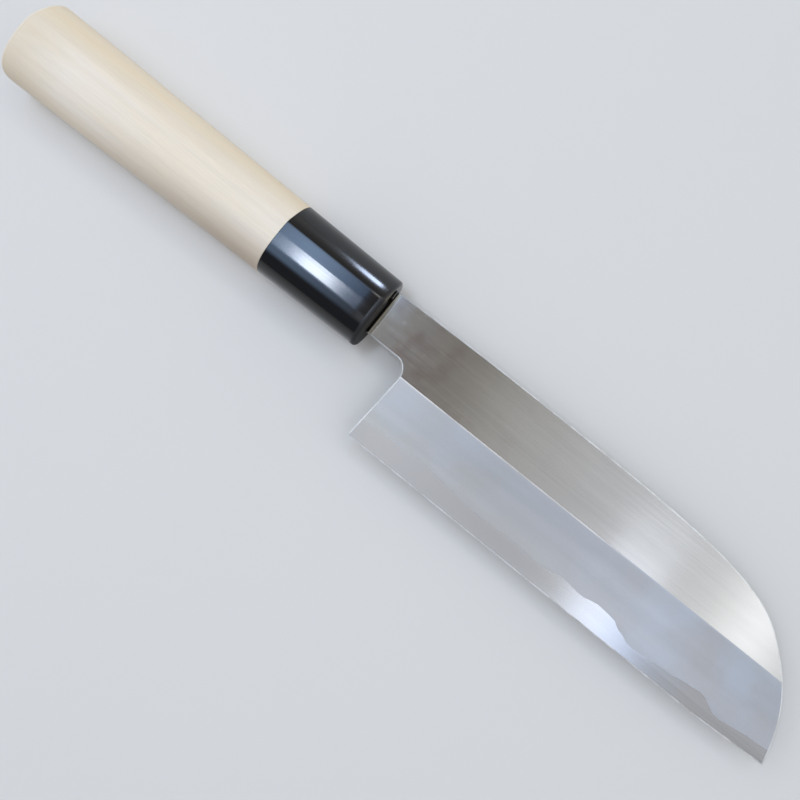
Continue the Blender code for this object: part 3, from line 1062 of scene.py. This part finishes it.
def makeGrip():
    h = handle
    front = -h["ferruleLength"]
    tenonEnd = front + h["tenonLength"]
    rounding = h["woodRidgeRounding"]
    ease = h["jointEasing"]
    chamfer = h["tenonChamfer"]
    shapes = roundedEnd(-h["length"], -1, h["buttRounding"], rounding)[::-1]
    shapes += straightRun(h["buttRounding"] - h["length"], front - ease, rounding)[1:]
    shapes += [sectionRing(front, ease, rounding), roundRing(front, h["tenonDiameter"])]
    shapes += [
        roundRing(tenonEnd - chamfer, h["tenonDiameter"]),
        roundRing(tenonEnd, h["tenonDiameter"] - 2 * chamfer),
    ]
    shapes += [tangRing(tenonEnd, h["gap"]), tangRing(-tang["length"] - h["holeRoom"], h["gap"])]
    finishPiece(loft(shapes, False), "woodenGrip", "wooden_grip", [sandedMagnolia()])


studio = {
    "floorColour": "#DEDAD3",
    "floorRoughness": 0.85,
    "floorSize": 20.0,    # metres from the middle to a side
    # name: place from the shoulder, width and depth in mm, turn about x and spread in
    # degrees (narrow for the lamp that stands low and must not light the floor),
    # brightness and colour
    "lamps": {
        "ferruleStreak": ((-116, -21, 500), (37, 124), 0, 180, 23.5, "#ECF3FF"),
        "frontStreak": ((-130, 900, 84), (66, 84), -86, 40, 1.84, "#CFE0FF"),
        "windowStrip": ((226, -132, 500), (50, 254), 0, 180, 1.7, "#E2EBFF"),
        "gripGlow": ((-371, 10, 500), (120, 140), 0, 180, 7, "#DCE8FF"),
        "spineRim": ((80, 284, 500), (290, 50), 0, 180, 3.5, "#FFFFFF"),
        "tipRim": ((515, 230, 500), (110, 110), 0, 180, 4, "#FFFFFF"),
    },
    # The sky in rows across the knife. Each row starts with the reach of y in which it
    # shows pure, then its colours along x with their brightness.
    "skyRows": [
        ((-1.0, -0.60), [
            (-0.42, 0.60, "#F3F6FF"), (-0.30, 0.22, "#EEF3FF"), (0.15, 0.22, "#EEF3FF"),
            (0.42, 0.60, "#F3F6FF"),
        ]),
        ((-0.36, -0.24), [
            (-0.34, 0.90, "#F6F8FF"), (-0.26, 3.20, "#B7D6FF"), (-0.21, 3.20, "#B7D6FF"),
            (-0.165, 1.90, "#B7D6FF"), (-0.14, 0.90, "#D6E6FF"), (-0.12, 0.50, "#F6F8FF"),
            (-0.09, 0.80, "#F6F8FF"), (-0.055, 1.00, "#F6F8FF"), (0.03, 0.82, "#F6F8FF"),
            (0.18, 0.72, "#F6F6FF"), (0.33, 0.50, "#FAFAFF"), (0.40, 0.44, "#FAFAFF"),
        ]),
        ((-0.12, 0.42), [
            (-0.34, 0.80, "#FFFFFF"), (-0.27, 3.60, "#B7D6FF"), (-0.21, 8.60, "#B7D6FF"),
            (-0.175, 5.30, "#B7D6FF"), (-0.148, 2.70, "#A8CCFF"), (-0.131, 1.50, "#A0C8FF"),
            (-0.119, 0.34, "#FFF6EC"), (-0.06, 0.30, "#FFF6EC"), (-0.01, 0.30, "#FFF6EC"),
            (0.035, 0.54, "#FCFBF8"), (0.08, 0.70, "#F8FAFC"), (0.14, 0.82, "#F6F9FF"),
            (0.20, 0.98, "#F2F7FF"), (0.25, 1.10, "#F2F7FF"), (0.30, 1.15, "#F2F7FF"),
            (0.335, 1.30, "#F6F9FF"), (0.365, 2.05, "#F6F9FF"), (0.385, 2.40, "#F2F7FF"),
            (0.41, 1.50, "#F2F7FF"), (0.44, 1.10, "#F2F7FF"),
        ]),
        ((0.62, 1.0), [(0.0, 0.42, "#FFFBF6")]),
    ],
    "horizon": (0.20, 0.12),    # from the first height down to the second the sky turns pale
    "horizonLevel": 0.62,
    # the camera looks almost straight down, with the knife lying across the picture
    "cameraPlace": (32.77, -14.16, 240),
    "cameraAim": (18.107, -14.16, 0),
    "cameraTurn": 38.85,
    "lens": 40.58,
    "sensor": 36,
    "clipStart": 0.01,    # metres
}


def setStage():
    bm = bmesh.new()
    bmesh.ops.create_grid(bm, x_segments=1, y_segments=1, size=studio["floorSize"])
    mesh = bpy.data.meshes.new("floor")
    bm.to_mesh(mesh)
    bm.free()
    floor = bpy.data.objects.new("floor", mesh)
    bpy.context.scene.collection.objects.link(floor)
    material, tree, shader, _ = newMaterial("paleFloor", 0, studio["floorRoughness"])
    feed(tree, shader, {"Base Color": studio["floorColour"]})
    mesh.materials.append(material)
    for name, (place, size, turn, spread, level, colour) in studio["lamps"].items():
        lamp = bpy.data.lights.new(name, "AREA")
        lamp.shape = "RECTANGLE"
        lamp.size, lamp.size_y = size[0] / metre, size[1] / metre
        lamp.energy = level * math.pi * lamp.size * lamp.size_y
        lamp.color = linear(colour)[:3]
        lamp.spread = math.radians(spread)
        stand = bpy.data.objects.new(name, lamp)
        stand.location = shoulder + Vector(place) / metre
        stand.rotation_euler.x = math.radians(turn)
        stand.visible_camera = False
        bpy.context.scene.collection.objects.link(stand)
    print("stage: floor and", len(studio["lamps"]), "lamps")


# A soft sky of a few rows, darker where the camera stands. The camera itself sees only a
# pale backdrop, and reflections see that round the horizon.
def setSky():
    world = bpy.data.worlds.new("studioSky")
    world.use_nodes = True
    bpy.context.scene.world = world
    tree = world.node_tree
    way = addNode(tree, "SeparateXYZ", [addNode(tree, "TexCoord").outputs["Generated"]])
    along = addNode(tree, "MapRange", [way.outputs["X"], -1, 1])
    sky, reached = None, None
    for (rowStart, rowEnd), stops in studio["skyRows"]:
        row = addNode(tree, "ValToRGB", [along])
        fillRamp(row.color_ramp, [
            ((x + 1) / 2, tuple(level * channel for channel in linear(colour)), 1)
            for x, level, colour in stops
        ])
        if sky:
            share = addNode(
                tree, "MapRange", [way.outputs["Y"], reached, rowStart],
                interpolation_type="SMOOTHSTEP",
            )
            sky = addNode(tree, "Mix", [share, sky, row], data_type="RGBA")
        else:
            sky = row
        reached = rowEnd
    rays = addNode(tree, "LightPath").outputs
    seen = addNode(
        tree, "Math", [rays["Is Camera Ray"], rays["Is Glossy Ray"]], operation="MAXIMUM",
    )
    seen = addNode(tree, "Math", [seen, rays["Is Transmission Ray"]], operation="MAXIMUM")
    low = addNode(tree, "MapRange", [way.outputs["Z"], *studio["horizon"]])
    low = addNode(tree, "Math", [low, rays["Is Camera Ray"]], operation="MAXIMUM")
    low = addNode(tree, "Math", [low, seen], operation="MULTIPLY")
    pale = [studio["horizonLevel"]] * 3 + [1]
    sky = addNode(tree, "Mix", [low, sky, pale], data_type="RGBA")
    feed(tree, tree.nodes["Background"], {"Color": sky})
    print("sky:", len(studio["skyRows"]), "rows")


def setCamera():
    camera = bpy.data.cameras.new("camera")
    camera.lens = studio["lens"]
    camera.sensor_width = studio["sensor"]
    camera.clip_start = studio["clipStart"]
    stand = bpy.data.objects.new("camera", camera)
    place = shoulder + Vector(studio["cameraPlace"]) / metre
    aim = shoulder + Vector(studio["cameraAim"]) / metre
    turn = math.radians(studio["cameraTurn"])
    away = (place - aim).normalized()
    up = Vector((-math.sin(turn), math.cos(turn), 0))
    up = (up - up.dot(away) * away).normalized()
    right = up.cross(away)
    pose = Matrix((right, up, away)).transposed().to_4x4()
    pose.translation = place
    stand.matrix_world = pose
    bpy.context.scene.collection.objects.link(stand)
    bpy.context.scene.camera = stand
    print("camera set")


makeBlade()
makeFerrule()
makeGrip()
setStage()
setSky()
setCamera()
bpy.context.scene.view_settings.view_transform = "Standard"
